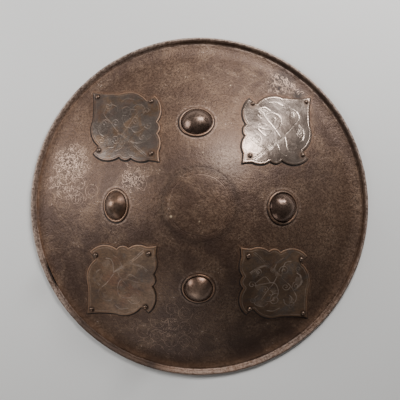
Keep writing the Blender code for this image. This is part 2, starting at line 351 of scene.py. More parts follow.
def arc(start, end, swell, step):
    """Points from start up to, not at, end, on an arc that swells to the right of the way."""
    start = Vector(start)
    end = Vector(end)
    chord = end - start
    half = chord.length / 2
    side = Vector((chord.y, -chord.x)).normalized()
    radius = (half * half + swell * swell) / (2 * swell)
    centre = (start + end) / 2 + side * (swell - radius)
    sweep = 4 * math.atan(swell / half)
    steps = max(1, round(abs(radius * sweep) / step))
    return [centre + Matrix.Rotation(sweep * i / steps, 2) @ (start - centre) for i in range(steps)]


def plaque_quarters(step):
    """The plaque's four sides in its own plan: along, up, back along and down, from the corner
    nearest the shield's middle, anticlockwise. The tabs' tips end the first and third."""
    ends = [point for point, _ in plaque_side[1:]] + [plaque_far_corner]
    along = []
    up = []
    for number, ((start, swell), end) in enumerate(zip(plaque_side, ends)):
        side = along if number < plaque_tip else up
        side += arc(start, end, swell, step)
    along.append(Vector(plaque_side[plaque_tip][0]))
    up.append(Vector(plaque_far_corner))
    back = [Vector((point.y, point.x)) for point in reversed(up)]
    down = [Vector((point.y, point.x)) for point in reversed(along)]
    return along, up, back, down


def evenly(points, count):
    """The same line with a number of equal steps."""
    points = np.array([tuple(point) for point in points])
    length = np.concatenate([[0], np.cumsum(np.hypot(*np.diff(points, axis=0).T))])
    where = np.linspace(0, length[-1], count + 1)
    return np.stack([np.interp(where, length, points[:, axis]) for axis in (0, 1)], -1)


def nearest(points, targets):
    """The distance from each point to the nearest target, in plan."""
    tree = KDTree(len(targets))
    for number, (x, y) in enumerate(targets):
        tree.insert((x, y, 0.0), number)
    tree.balance()
    return np.array([tree.find((x, y, 0.0))[2] for x, y in points])


def turned_plan(points, angle):
    """Points turned about the shield's middle."""
    cos, sin = math.cos(angle), math.sin(angle)
    x, y = points[:, 0], points[:, 1]
    return np.stack([x * cos - y * sin, x * sin + y * cos], -1)


corner_shift = plaque_inner_corner / math.sqrt(2)
plaque_loop = np.concatenate([evenly(side, 120)[:-1] for side in plaque_quarters(0.0005)])
plaque_turns = {side: math.radians(angle - 45) for side, angle in plaque_angles.items()}
plaque_loops = {}
rivet_plan = {}
for side, turn in plaque_turns.items():
    plaque_loops[side] = turned_plan(plaque_loop + corner_shift, turn)
    for corner, place in rivet_places.items():
        spot = turned_plan(np.array([place]) + corner_shift, turn)[0]
        rivet_plan[side, corner] = (float(spot[0]), float(spot[1]))
boss_places = {}
for side, degrees in boss_angles.items():
    angle = math.radians(degrees)
    boss_places[side] = (boss_circle_radius * math.cos(angle), boss_circle_radius * math.sin(angle))


def boss_edge(side):
    """Plan points round the edge of a boss's flange."""
    down, across = boss_widths[side]
    place = frame_on_dome(*boss_places[side])
    points = []
    for step in range(boss_edge_steps):
        angle = 2 * math.pi * step / boss_edge_steps
        spoke = Vector((down / 2 * math.cos(angle), across / 2 * math.sin(angle), 0.0))
        points.append((place @ spoke).to_tuple()[:2])
    return np.array(points)


# Materials


class Shade:
    """A material's node tree, with short ways to add nodes to it."""

    def __init__(self, name):
        self.material = bpy.data.materials.new(name)
        self.material.use_nodes = True
        self.nodes = self.material.node_tree.nodes
        self.links = self.material.node_tree.links
        self.shader = self.nodes["Principled BSDF"]
        self.where = self.nodes.new("ShaderNodeTexCoord").outputs["Object"]

    def feed(self, socket, value):
        if isinstance(value, bpy.types.NodeSocket):
            self.links.new(value, socket)
        else:
            socket.default_value = value

    def add(self, kind, output, inputs, **settings):
        """Adds a node with some settings, feeds its inputs and gives one of its outputs."""
        node = self.nodes.new("ShaderNode" + kind)
        for key, setting in settings.items():
            setattr(node, key, setting)
        for key, value in inputs.items():
            self.feed(node.inputs[key], value)
        return node.outputs[output]

    def noise(self, scale, detail=4.0, roughness=0.55, distortion=0.0, where=None):
        inputs = {"Vector": where or self.where, "Scale": scale, "Detail": detail}
        return self.add("TexNoise", "Fac", {**inputs, "Roughness": roughness, "Distortion": distortion})

    def brushed(self, scale, degrees, stretch):
        """Fine noise drawn out into strokes that run at an angle in plan."""
        turn = (0.0, 0.0, math.radians(-degrees))
        inputs = {"Vector": self.where, "Rotation": turn, "Scale": (1 / stretch, 1.0, 1.0)}
        return self.noise(scale, 3.0, 0.6, 0.2, self.add("Mapping", "Vector", inputs))

    def near(self, place, reach):
        """1 at a place, falling to 0 a reach away from it."""
        away = self.add("VectorMath", "Value", {0: self.where, 1: place}, operation="DISTANCE")
        return self.step(away, reach, reach * 0.4)

    def value(self, name):
        return self.add("Attribute", "Fac", {}, attribute_name=name)

    def step(self, value, low, high, start=0.0, end=1.0):
        """A smooth step of a value, from start below low to end above high."""
        inputs = {"Value": value, "From Min": low, "From Max": high, "To Min": start, "To Max": end}
        return self.add("MapRange", "Result", inputs, interpolation_type="SMOOTHSTEP")

    def math(self, operation, first, second):
        clamped = operation == "MULTIPLY"
        return self.add("Math", 0, {0: first, 1: second}, operation=operation, use_clamp=clamped)

    def mix(self, share, first, second):
        return self.add("Mix", "Result", {"Factor": share, "A": first, "B": second}, data_type="RGBA")

    def broken(self, name, noise, low, high, least, share):
        """A share of one of the mesh's values, less where a noise is low, down to a least part."""
        whole = self.math("MULTIPLY", self.value(name), self.step(noise, low, high, least, 1.0))
        return self.math("MULTIPLY", whole, share)

    def dulled(self, roughness, first, second, more):
        """A roughness that is raised where either of two of the mesh's values is high."""
        either = self.math("MAXIMUM", self.value(first), self.value(second))
        return self.math("ADD", roughness, self.math("MULTIPLY", either, more))

    def bump(self, height, strength, distance, normal=None):
        inputs = {"Strength": strength, "Distance": distance, "Height": height}
        if normal is not None:
            inputs["Normal"] = normal
        return self.add("Bump", "Normal", inputs)

    def finish(self, colour, roughness, metallic, normal):
        inputs = {"Base Color": colour, "Roughness": roughness, "Metallic": metallic, "Normal": normal}
        for key, value in inputs.items():
            self.feed(self.shader.inputs[key], value)
        return self.material


def colour(red, green, blue):
    return (red, green, blue, 1.0)


dark_brown = colour(0.070, 0.038, 0.026)
mid_brown = colour(0.155, 0.088, 0.054)
light_brown = colour(0.260, 0.163, 0.104)
rust_orange = colour(0.260, 0.125, 0.062)
pale_dust_and_sheen = colour(0.470, 0.362, 0.300)
bare_steel = colour(0.490, 0.335, 0.250)
black_dirt_and_shade = colour(0.016, 0.011, 0.009)
edge_tan_and_highlight = colour(0.370, 0.220, 0.138)
chip_pale = colour(0.480, 0.360, 0.240)
soot_tones = (colour(0.030, 0.023, 0.019), colour(0.075, 0.050, 0.036))
boss_tones = (colour(0.062, 0.039, 0.030), colour(0.150, 0.096, 0.072))
boss_grain = colour(0.050, 0.030, 0.023)
boss_rubbed = colour(0.440, 0.310, 0.235)
line_pale = colour(0.560, 0.450, 0.370)
plaque_grain = colour(0.050, 0.034, 0.026)
plaque_scratch = colour(0.060, 0.042, 0.032)

# The plaques' tones, which each plaque has lighter or darker: mostly painted light and shade
plaque_greys = ((0.136, 0.101, 0.082), (0.206, 0.162, 0.136))
plaque_browns = ((0.136, 0.078, 0.046), (0.262, 0.166, 0.105))
plaque_stains = ((34.0, (0.200, 0.094, 0.058)), (23.0, (0.062, 0.044, 0.038)))


def brown_patina(shade):
    """The plate's colour, with its blotches, specks and pits, and the noises that made it."""
    broad = shade.noise(9.0, 5.0, 0.6, 0.4)
    blotch = shade.noise(42.0, 6.0, 0.65, 0.6)
    grain = shade.noise(380.0, 4.0, 0.7)
    speck = shade.noise(560.0, 2.0, 0.5)
    tone = shade.mix(shade.step(broad, 0.34, 0.68), dark_brown, mid_brown)
    tone = shade.mix(shade.step(blotch, 0.42, 0.72, 0.0, 0.6), tone, light_brown)
    tone = shade.mix(shade.step(grain, 0.40, 0.60, 0.65, 0.0), tone, dark_brown)
    # Pale with wear, and with painted highlight and sheen where the mesh's values carry them
    tone = shade.mix(shade.broken("wear_and_highlight", grain, 0.38, 0.58, 0.15, 0.75), tone, pale_dust_and_sheen)
    chips = shade.math("MULTIPLY", shade.step(speck, 0.64, 0.70), shade.step(blotch, 0.52, 0.66))
    tone = shade.mix(shade.math("MULTIPLY", chips, 0.8), tone, pale_dust_and_sheen)
    tone = shade.mix(shade.math("MULTIPLY", shade.step(speck, 0.34, 0.28), 0.7), tone, black_dirt_and_shade)
    tone = shade.mix(shade.broken("rust", blotch, 0.30, 0.62, 0.3, 0.8), tone, rust_orange)
    # Dark with dirt, and with painted shade where the mesh's values carry it
    tone = shade.mix(shade.value("dirt_and_shade"), tone, black_dirt_and_shade)
    return tone, grain, blotch


# Chips in the patina that show from afar: plan places, each with its reach
chip_places = (
    (-0.036, 0.161, 0.0014),
    (-0.017, 0.159, 0.0012),
    (0.038, 0.148, 0.0012),
    (0.004, 0.063, 0.0013),
    (-0.034, -0.014, 0.0021),
    (0.000, -0.020, 0.0014),
    (0.001, -0.153, 0.0012),
    (-0.130, 0.025, 0.0012),
    (0.141, -0.026, 0.0012),
)


def plate_material():
    """Brown patina outside and soot inside."""
    shade = Shade("patinated_plate")
    tone, grain, blotch = brown_patina(shade)
    uneven = shade.step(grain, 0.40, 0.56, 0.1, 0.9)
    for x, y, reach in chip_places:
        chip = shade.near((x, y, float(height_at(math.hypot(x, y)))), reach)
        tone = shade.mix(shade.math("MULTIPLY", chip, uneven), tone, chip_pale)
    soot = shade.mix(shade.step(blotch, 0.35, 0.70), *soot_tones)
    tone = shade.mix(shade.value("inside"), tone, soot)
    normal = shade.bump(grain, 0.8, 0.0008)
    normal = shade.bump(shade.noise(110.0, 4.0, 0.6), 0.35, 0.0015, normal)
    return shade.finish(tone, shade.step(grain, 0.35, 0.65, 0.38, 0.56), 0.50, normal)


def inlay_material():
    """What is left of the scrolls: pale where it is kept, and the plate's brown where worn."""
    shade = Shade("worn_scrollwork")
    tone, grain, _ = brown_patina(shade)
    whole = shade.step(shade.noise(220.0, 3.0, 0.6), 0.36, 0.54)
    tone = shade.mix(shade.math("MULTIPLY", shade.value("kept"), whole), tone, bare_steel)
    roughness = shade.step(grain, 0.35, 0.65, 0.38, 0.55)
    return shade.finish(tone, roughness, 0.70, shade.bump(grain, 0.3, 0.0003))


def grained_material(name, grain, meets, tones, rust, roughness, metallic, bumps):
    """A material of one noise: grain is the noise's own numbers, meets where its two tones
    meet, rust the noise and limits of rusty patches, if any, and bumps their strength and height."""
    shade = Shade(name)
    grain = shade.noise(*grain)
    tone = shade.mix(shade.step(grain, *meets), *tones)
    if rust:
        patches, low, high = rust
        tone = shade.mix(shade.step(shade.noise(*patches), low, high, 0.0, 0.5), tone, rust_orange)
    return shade.finish(tone, shade.step(grain, 0.35, 0.65, *roughness), metallic, shade.bump(grain, *bumps))


# The dark of the lines round the plaques and bosses: grime at the seams, and painted shadow.
def grime_and_shadow_material():
    tones = (black_dirt_and_shade, colour(0.045, 0.026, 0.018))
    grain = (700.0, 4.0, 0.65)
    return grained_material("dark_grime", grain, (0.38, 0.64), tones, None, (0.65, 0.85), 0.1, (0.3, 0.0003))


def rivet_material():
    tones = (colour(0.070, 0.044, 0.032), colour(0.210, 0.145, 0.108))
    grain = (800.0, 4.0, 0.65)
    rust = ((180.0, 3.0), 0.5, 0.7)
    roughness = (0.28, 0.45)
    return grained_material("rusted_rivet", grain, (0.38, 0.62), tones, rust, roughness, 0.80, (0.3, 0.0003))


def fitting_material():
    tones = (colour(0.026, 0.021, 0.018), colour(0.095, 0.066, 0.048))
    grain = (500.0, 5.0, 0.65)
    rust = ((120.0, 4.0), 0.52, 0.72)
    roughness = (0.42, 0.66)
    bumps = (0.4, 0.0004)
    return grained_material("blackened_fitting", grain, (0.36, 0.66), tones, rust, roughness, 0.78, bumps)


def plaque_material(browned, painted_lightness, line_share):
    """The plaques' grey, with a share that has browned over, a lightness that mostly paints the light
    and shade the plaque is in, and how clear the engraving is.
    """

    def toned(tint):
        return colour(*(part * painted_lightness for part in tint))

    shade = Shade("engraved_plaque")
    broad = shade.noise(26.0, 4.0, 0.6, 0.3)
    grain = shade.noise(420.0, 3.0, 0.6)
    blotch = shade.noise(60.0, 4.0, 0.6, 0.5)
    strokes = shade.brushed(520.0, 60.0, 6.0)
    grey, brown = (
        shade.mix(shade.step(broad, 0.35, 0.65), toned(dark), toned(light))
        for dark, light in (plaque_greys, plaque_browns)
    )
    tone = shade.mix(shade.step(blotch, 0.75 - 0.55 * browned, 0.95 - 0.55 * browned), grey, brown)
    for scale, stain in plaque_stains:
        patch = shade.step(shade.noise(scale, 4.0, 0.65, 0.5), 0.50, 0.68, 0.0, 0.60 * browned)
        tone = shade.mix(patch, tone, toned(stain))
    grained = 0.08 + 0.20 * browned
    tone = shade.mix(shade.step(grain, 0.40, 0.60, grained, 0.0), tone, plaque_grain)
    tone = shade.mix(shade.step(strokes, 0.38, 0.62, grained, 0.0), tone, plaque_scratch)
    line = shade.broken("engraving", blotch, 0.40, 0.60, 0.60 - 0.45 * browned, line_share)
    tone = shade.mix(line, tone, line_pale)
    tone = shade.mix(shade.broken("rust", blotch, 0.35, 0.60, 0.25, 0.6), tone, rust_orange)
    # Pale tan on the edges: wear, and a painted highlight on the side turned to the lamps
    tone = shade.mix(shade.math("MULTIPLY", shade.value("wear_and_highlight"), 0.60), tone, edge_tan_and_highlight)
    # Dark with dirt and round the rivets, and painted shade on the edges turned from the lamps
    tone = shade.mix(shade.value("dirt_and_shade"), tone, black_dirt_and_shade)
    roughness = shade.step(blotch, 0.35, 0.65, 0.20 + 0.22 * browned, 0.28 + 0.24 * browned)
    roughness = shade.dulled(roughness, "wear_and_highlight", "dirt_and_shade", 0.34)
    normal = shade.bump(grain, 0.06 + 0.16 * browned, 0.0004)
    normal = shade.bump(strokes, 0.12 + 0.24 * browned, 0.0006, normal)
    normal = shade.bump(shade.noise(130.0, 3.0, 0.5), 0.25, 0.0010, normal)
    return shade.finish(tone, roughness, 0.80 - 0.40 * browned, normal)


def boss_material():
    """Dark polished iron, rubbed and rusty in places."""
    shade = Shade("rubbed_boss")
    grain = shade.noise(500.0, 4.0, 0.65)
    broad = shade.noise(60.0, 5.0, 0.6, 0.4)
    tone = shade.mix(shade.step(broad, 0.35, 0.66), *boss_tones)
    tone = shade.mix(shade.step(grain, 0.38, 0.58, 0.55, 0.0), tone, boss_grain)
    tone = shade.mix(shade.broken("rubbed", grain, 0.35, 0.60, 0.5, 0.6), tone, boss_rubbed)
    tone = shade.mix(shade.broken("rust", broad, 0.35, 0.60, 0.2, 0.5), tone, rust_orange)
    # Dark in the groove round the dome: painted shade
    tone = shade.mix(shade.value("dirt_and_shade"), tone, black_dirt_and_shade)
    roughness = shade.dulled(shade.step(grain, 0.35, 0.65, 0.20, 0.32), "rubbed", "rust", 0.24)
    normal = shade.bump(grain, 0.3, 0.0003)
    normal = shade.bump(shade.noise(100.0, 3.0, 0.6), 0.25, 0.0010, normal)
    return shade.finish(tone, roughness, 0.80, normal)


# The plate

# Where the scrollwork has lasted: plan places, each with its reach and how well it shows
kept_patches = (
    (-0.160, 0.054, 0.024, 0.95),
    (-0.174, 0.028, 0.018, 0.62),
    (-0.152, 0.018, 0.026, 0.42),
    (-0.150, -0.040, 0.040, 0.24),
    (-0.078, 0.030, 0.017, 0.80),
    (-0.086, 0.054, 0.013, 0.48),
    (-0.050, 0.056, 0.010, 0.45),
    (0.102, 0.152, 0.020, 0.95),
    (0.122, 0.136, 0.012, 1.00),
    (0.020, 0.165, 0.040, 0.24),
    (-0.040, -0.150, 0.055, 0.32),
    (0.150, -0.050, 0.050, 0.20),
)
kept_everywhere = 0.14

# A painted sheen on the dome, pale, without scrolls: plan place, reach and how much
painted_sheen_patch = (0.034, 0.054, 0.026, 0.42)

# Where the roll of the rim has come away from the plate, in degrees
rim_opening_angle = 205.0
rim_opening_width = 6.0
rim_slot_width = 0.0034
rim_slot_height = 0.0004

# The rim's section: a wavy slope, then a rounded edge from an angle at its top
rim_slope_steps = 7
rim_slope_end = math.radians(40)
rim_slope_wave = 0.10
rim_slope_share = 0.93
rim_edge_start = math.radians(130)
rim_edge_steps = 8
rim_under_steps = 5

# The plate's rings of points: those round the punch mark at the top, the least step between
# two, and the width inside the rim over which the hammering fades out
punch_rings = (0.0004, 0.0008, punch_radius)
least_ring_step = 0.0001
edge_fade = 0.004

# The stretches of the rim painted paler, partly for wear and partly as painted light, and the
# stretch painted dark as shade where the roll stands open from the plate: from, to and how much
rim_worn_and_lit_arcs = (
    (95.0, 196.0, 0.42),
    (184.0, 223.0, 0.62),
    (254.0, 314.0, 0.92),
    (300.0, 330.0, 0.45),
)
rim_shadowed_arcs = ((217.0, 261.0, 0.58),)
rim_arc_blur = 8.0


def kept_at(x, y):
    """How well the scrollwork shows at a place, from 0 to 1."""
    kept = np.full(np.shape(x), kept_everywhere)
    for patch_x, patch_y, reach, strength in kept_patches:
        kept = np.maximum(kept, strength * bell(np.hypot(x - patch_x, y - patch_y), reach))
    return kept


def rim_opened(angle):
    """How far the roll has come away from the plate at an angle in degrees, from 0 to 1."""
    return np.clip(2 - 2 * np.abs(angle - rim_opening_angle) / rim_opening_width, 0, 1)


def on_rim_arcs(angle, arcs):
    """The strength of the stretch of the rim that an angle in degrees lies in."""
    strength = np.zeros(np.shape(angle))
    for start, end, arc_strength in arcs:
        inside = np.clip(np.minimum(angle - start, end - angle) / rim_arc_blur, 0, 1)
        strength = np.maximum(strength, arc_strength * inside)
    return strength


def towards(angle, direction):
    """How much an angle in degrees faces a direction, from 0 to 1."""
    return np.clip(np.cos(np.radians(angle - direction)), 0, 1)


def plate_rings():
    """The radii of the plate's rings of points: outside, from near the top out to the rim with
    the engraved rings among them, and inside, from the rim back in."""
    radii = np.arange(1, round(flare_end / plate_pitch)) * plate_pitch
    radii = np.concatenate([punch_rings, radii[1:]])
    rings = [
        ring + engraved_half_width * share
        for ring in medallion_radii
        for share in (-1.0, -0.5, 0.0, 0.5, 1.0)
    ]
    clear = [min(abs(radius - ring) for ring in rings) > engraved_half_width for radius in radii]
    outer = np.sort(np.concatenate([radii[clear], rings, [flare_end]]))
    outer = outer[np.concatenate([[True], np.diff(outer) > least_ring_step])]
    inner = np.linspace(flare_end, 0.0, round(flare_end / inner_pitch))[:-1]
    return outer, inner


def rim_section():
    """The rim's section as (distance inside the edge, height): a groove, a long slope up to the
    narrow rounded edge, and down round it to the ground."""
    foot = rim_reach - flare_end - rim_groove_width
    section = [(foot + rim_groove_width / 2, sheet - rim_groove_depth)]
    low = sheet - rim_groove_depth / 2
    high = rim_roll_height - rim_edge_radius * (1 - math.cos(rim_slope_end))
    for step in range(rim_slope_steps):
        share = step / rim_slope_steps
        rise = share - rim_slope_wave * math.sin(2 * math.pi * share)
        away = foot + (2 * rim_edge_radius - foot) * share * rim_slope_share
        section.append((away, low + (high - low) * rise))
    top = rim_roll_height - rim_edge_radius
    turns = [(rim_edge_start * (1 - step / rim_edge_steps), top) for step in range(rim_edge_steps + 1)]
    for step in range(1, rim_under_steps + 1):
        turns.append((-math.pi / 2 * step / rim_under_steps, rim_edge_radius))
    for angle, middle in turns:
        reach = rim_edge_radius * math.cos(angle)
        section.append((rim_edge_radius - reach, middle + rim_edge_radius * math.sin(angle)))
    return section


def make_plate(material):
    """The dome with its rolled rim, hammered unevenly, as one closed sheet."""
    angles = np.arange(plate_columns) * 2 * math.pi / plate_columns
    cos, sin = np.cos(angles), np.sin(angles)
    outer, inner = plate_rings()
    rows = []
    inside = []

    for radius in outer:
        x, y = radius * cos, radius * sin
        fade = np.clip((flare_end - radius) / edge_fade, 0, 1)
        rows.append(on_dome(x, y, beaten(x, y) * fade))
        inside.append(0.0)

    uneven = unevenness(plane_waves(11, 14, 0.012, 0.070), rim_radius * cos, rim_radius * sin)
    pinched = unevenness(plane_waves(12, 14, 0.009, 0.040), rim_radius * cos, rim_radius * sin)
    swell = 0.94 - 0.06 * np.clip(uneven, -1, 1)
    inset = 0.00015 * (1 + np.clip(pinched, -1, 1))
    opened = rim_opened(np.degrees(angles))
    foot = rim_reach - flare_end
    for away, height in rim_section():
        radius = rim_reach - inset - away
        in_slot = min(1, max(0, 2 - 2 * (foot - away) / rim_slot_width))
        level = height * swell * (1 - opened * in_slot) + rim_slot_height * opened * in_slot
        rows.append(np.stack([radius * cos, radius * sin, level], -1))
        inside.append(0.0)
    for radius in inner:
        x, y = radius * cos, radius * sin
        rows.append(on_dome(x, y, -sheet))
        inside.append(1.0)

    apex = on_dome(0.0, 0.0, beaten(0.0, 0.0))[None]
    inner_apex = np.array([[0.0, 0.0, dome_rise - sheet]])
    points = np.concatenate([apex] + rows + [inner_apex])
    faces = []
    last = len(points) - 1
    for column in range(plate_columns):
        after = (column + 1) % plate_columns
        faces.append((0, 1 + column, 1 + after))
        bottom = 1 + (len(rows) - 1) * plate_columns
        faces.append((last, bottom + after, bottom + column))
        for row in range(len(rows) - 1):
            upper = 1 + row * plate_columns
            lower = upper + plate_columns
            faces.append((upper + column, lower + column, lower + after, upper + after))

    values = plate_values(points, np.concatenate([[0.0], np.repeat(inside, plate_columns), [1.0]]))
    piece = mesh_piece("beaten_plate", points, faces, material, values)
    bolts = [frame_on_dome(*place) for place in boss_places.values()]
    rivets = [frame_on_dome(*place) for place in rivet_plan.values()]
    cut(piece, drills(bolts, bolt_radius + bore_gap, 4 * sheet), "DIFFERENCE")
    cut(piece, drills(rivets, rivet_shank_radius + bore_gap, 4 * sheet), "DIFFERENCE")
    stands_for(piece, "shield_plate")


def plate_values(points, inside):
    """Where the plate is rusty, pale with wear and painted light, dark with dirt and painted shade,
    and inside, from 0 to 1 at each point.
    """
    plan = points[:, :2]
    radius = np.hypot(plan[:, 0], plan[:, 1])
    angle = np.degrees(np.arctan2(plan[:, 1], plan[:, 0])) % 360
    from_plaque = nearest(plan, np.concatenate(list(plaque_loops.values())))
    from_boss = nearest(plan, np.concatenate([boss_edge(side) for side in boss_places]))
    past_medallion = np.clip((radius - 0.040) / 0.012, 0, 1)
    past_rim = radius - flare_end
    by_rim = bell(past_rim, 0.0016)
    in_groove = bell(past_rim - rim_groove_width / 2, 0.0009)
    in_slot = np.clip(2 - 2 * past_rim / rim_slot_width, 0, 1) * (past_rim > 0)
    on_rim = radius > flare_end + rim_groove_width / 2
    on_crest = np.clip((radius - rim_crest + 0.0014) / 0.0005, 0, 1)
    on_crest = on_crest * (points[:, 2] > 0.6 * rim_roll_height)
    rim_shadow = on_rim_arcs(angle, rim_shadowed_arcs)
    kept = kept_at(plan[:, 0], plan[:, 1])
    between_curls = np.where(plan[:, 0] > 0, 1.25, 0.60) * np.clip(kept - curl_least_kept, 0, 1)
    patch_x, patch_y, patch_reach, patch_strength = painted_sheen_patch
    from_patch = np.hypot(plan[:, 0] - patch_x, plan[:, 1] - patch_y)
    rusty = (
        0.40 * bell(np.minimum(from_plaque, from_boss), 0.0028),
        (0.12 + 0.60 * towards(angle, 190.0)) * by_rim,
        0.45 * towards(angle, 270.0) * bell(past_rim + 0.003, 0.004),
        0.50 * towards(angle, 275.0) * on_rim,
    )
    # Pale with wear round the kept scrolls and the bosses; the rim's crest pale, partly wear and partly a
    # painted highlight; the rim's paler stretches, partly painted light; paler by the rim towards the top;
    # and the painted sheen by the north-east plaque.
    wear_and_highlight = (
        0.20 * kept * past_medallion,
        0.55 * bell(from_boss - 0.0026, 0.0009),
        on_crest * (1 - rim_shadow),
        on_rim * on_rim_arcs(angle, rim_worn_and_lit_arcs),
        0.30 * towards(angle, 95.0) * by_rim,
        patch_strength * bell(from_patch, patch_reach),
    )
    # Painted shade: in the rim's groove, deeper towards the upper right; on the rim's inner slope towards
    # the upper right; in the opened slot; on the rim where the roll stands open; and on the dome towards the
    # lower right. Dirt darkens the ground between the kept curls, and the plate is darker round the
    # medallion.
    dirty_and_shaded = (
        in_groove * (0.15 + 0.45 * towards(angle, 70.0)),
        in_slot * rim_opened(angle),
        0.45 * towards(angle, 45.0) * on_rim * (1 - on_crest),
        on_rim * rim_shadow,
        between_curls * past_medallion,
        0.30 * bell(radius - medallion_radii[-1], 0.0045),
        0.26 * towards(angle, 322.0) * np.clip((radius - 0.05) / 0.07, 0, 1),
    )
    return {
        "rust": np.maximum.reduce(rusty),
        "wear_and_highlight": np.maximum.reduce(wear_and_highlight) * (1 - inside),
        "dirt_and_shade": np.maximum.reduce(dirty_and_shaded) * (1 - inside),
        "inside": inside,
    }


# Grime and painted shadow round the plaques and the bosses

grime_and_shadow_width = 0.0012
grime_and_shadow_under = 0.0004
grime_and_shadow_lift = 0.00006


def make_grime_and_shadow(name, outline, material):
    """A thin dark line on the plate round the edge of a plaque or a boss: grime at the seam,
    and painted shadow where it widens on the side turned from the lamps.
    """
    way = np.roll(outline, -1, 0) - np.roll(outline, 1, 0)
    way /= np.linalg.norm(way, axis=1)[:, None]
    outward = np.stack([way[:, 1], -way[:, 0]], -1)
    uneven = unevenness(plane_waves(len(name), 12, 0.004, 0.030), outline[:, 0], outline[:, 1])
    # The line widens on the side turned from the lamps, where it is painted shadow.
    shaded = -0.55 * outward[:, 0] - 0.84 * outward[:, 1]
    width = (grime_and_shadow_width * (1 + 0.3 * uneven + 0.5 * shaded))[:, None]
    rows = [
        on_plate(outline - outward * grime_and_shadow_under, -grime_and_shadow_lift),
        on_plate(outline, grime_and_shadow_lift),
        on_plate(outline + outward * width * 0.7, grime_and_shadow_lift),
        on_plate(outline + outward * width, -grime_and_shadow_lift),
        on_plate(outline + outward * width * 0.5, -4 * grime_and_shadow_lift),
    ]
    count = len(outline)
    faces = []
    for row in range(len(rows)):
        here = row * count
        there = (row + 1) % len(rows) * count
        for column in range(count):
            after = (column + 1) % count
            faces.append((here + column, there + column, there + after, here + after))
    piece = mesh_piece(name, np.concatenate(rows), faces, material)
    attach(piece, "root")


# Scrollwork on the plate

scroll_radius = 0.0088
scroll_rows = (0.0580, 0.0765, 0.0950, 0.1135, 0.1320, 0.1505, 0.1690, 0.1875)
scroll_width = 0.00085
scroll_lift = 0.00003
scroll_least_kept = 0.17
curl_pitch = 0.0049
curl_width = 0.00125
curl_least_kept = 0.30
boss_clearance = 0.0012
medallion_clearance = 0.002
rim_clearance = 0.008
plaque_clearance = 0.0020
plaque_reach = 0.0885
stem_points = 12
leaf_shares = (0.12, 0.25, 0.38, 0.52, 0.68)
leaf_bend = 0.9
scroll_chance = 0.85
scroll_step = 0.0010
curl_step = 0.0005


def spiral(centre, radius, start, turns, side, left_open):
    """A spiral from its outer end inwards, in plan."""
    line = []
    steps = max(10, round(radius * turns * 9000))
    for step in range(steps + 1):
        share = step / steps
        angle = start + side * 2 * math.pi * turns * share
        reach = radius * (1 - (1 - left_open) * share**0.85)
        line.append((centre[0] + reach * math.cos(angle), centre[1] + reach * math.sin(angle)))
    return line


def running_scroll(draw, row_radius, row_number):
    """The strokes of one ring of running scrolls: each is a line in plan with its widths."""
    strokes = []
    count = 2 * round(math.pi * row_radius / (2 * scroll_radius))
    for number in range(count):
        middle = 2 * math.pi * (number + 0.5 * (row_number % 2)) / count
        side = 1 if number % 2 else -1
        reach = scroll_radius * draw.uniform(0.80, 1.08)
        stem = []
        for angle in np.linspace(math.pi, 0, stem_points):
            stem.append((scroll_radius * math.cos(angle), side * scroll_radius * math.sin(angle)))
        unit = [(stem, scroll_width, scroll_width)]
        inner = spiral((0.0, 0.0), reach, draw.uniform(-0.6, 0.6), draw.uniform(1.2, 2.0), -side, 0.12)
        unit.append((inner, scroll_width, scroll_width * 0.6))
        for share in leaf_shares:
            x, y = inner[round(share * (len(inner) - 1))]
            heading = math.atan2(y, x) + side * leaf_bend
            length = draw.uniform(0.0022, 0.0042)
            leaf = []
            for step in (0, 0.35, 0.7, 1.0):
                bend = heading - side * leaf_bend * step
                leaf.append((x + length * step * math.cos(bend), y + length * step * math.sin(bend)))
            unit.append((leaf, scroll_width * 1.6, scroll_width * 0.3))
        for line, start_width, end_width in unit:
            placed = []
            for along, out in line:
                radius = row_radius + out
                turn = middle - along / row_radius
                placed.append((radius * math.cos(turn), radius * math.sin(turn)))
            if draw.random() < scroll_chance:
                strokes.append((placed, start_width, end_width, scroll_step))
    return strokes


def small_curls(draw):
    """The close little curls that fill the patches which have lasted best."""
    strokes = []
    rows = math.ceil(rim_radius / curl_pitch)
    for row in range(-rows, rows + 1):
        for column in range(-rows, rows + 1):
            x = (column + 0.5 * (row % 2) + draw.uniform(-0.28, 0.28)) * curl_pitch
            y = (row + draw.uniform(-0.28, 0.28)) * curl_pitch * 0.9
            radius = curl_pitch * draw.uniform(0.32, 0.66)
            start = draw.uniform(0, 2 * math.pi)
            turns = draw.uniform(0.55, 1.35)
            side = draw.choice((-1, 1))
            chance = draw.random()
            kept = float(kept_at(np.array(x), np.array(y)))
            if kept < curl_least_kept or chance > 1.5 * kept:
                continue
            line = spiral((x, y), radius, start, turns, side, 0.30)
            tail = start - side * 0.5 * math.pi
            reach = curl_pitch * 0.5
            first = (line[0][0] + reach * math.cos(tail), line[0][1] + reach * math.sin(tail))
            strokes.append(([first] + line, curl_width, curl_width * 0.75, curl_step))
    return strokes


def in_the_open(line):
    """Whether a line keeps clear of the plaques, the bosses, the medallion and the rim."""
    for x, y in line:
        radius = math.hypot(x, y)
        if not medallion_radii[-1] + medallion_clearance < radius < flare_end - rim_clearance:
            return False
        for side, (boss_x, boss_y) in boss_places.items():
            if math.hypot(x - boss_x, y - boss_y) < max(boss_widths[side]) / 2 + boss_clearance:
                return False
        for turn in plaque_turns.values():
            a = x * math.cos(turn) + y * math.sin(turn) - corner_shift
            b = y * math.cos(turn) - x * math.sin(turn) - corner_shift
            if -plaque_clearance < min(a, b) and max(a, b) < plaque_reach:
                return False
    return True


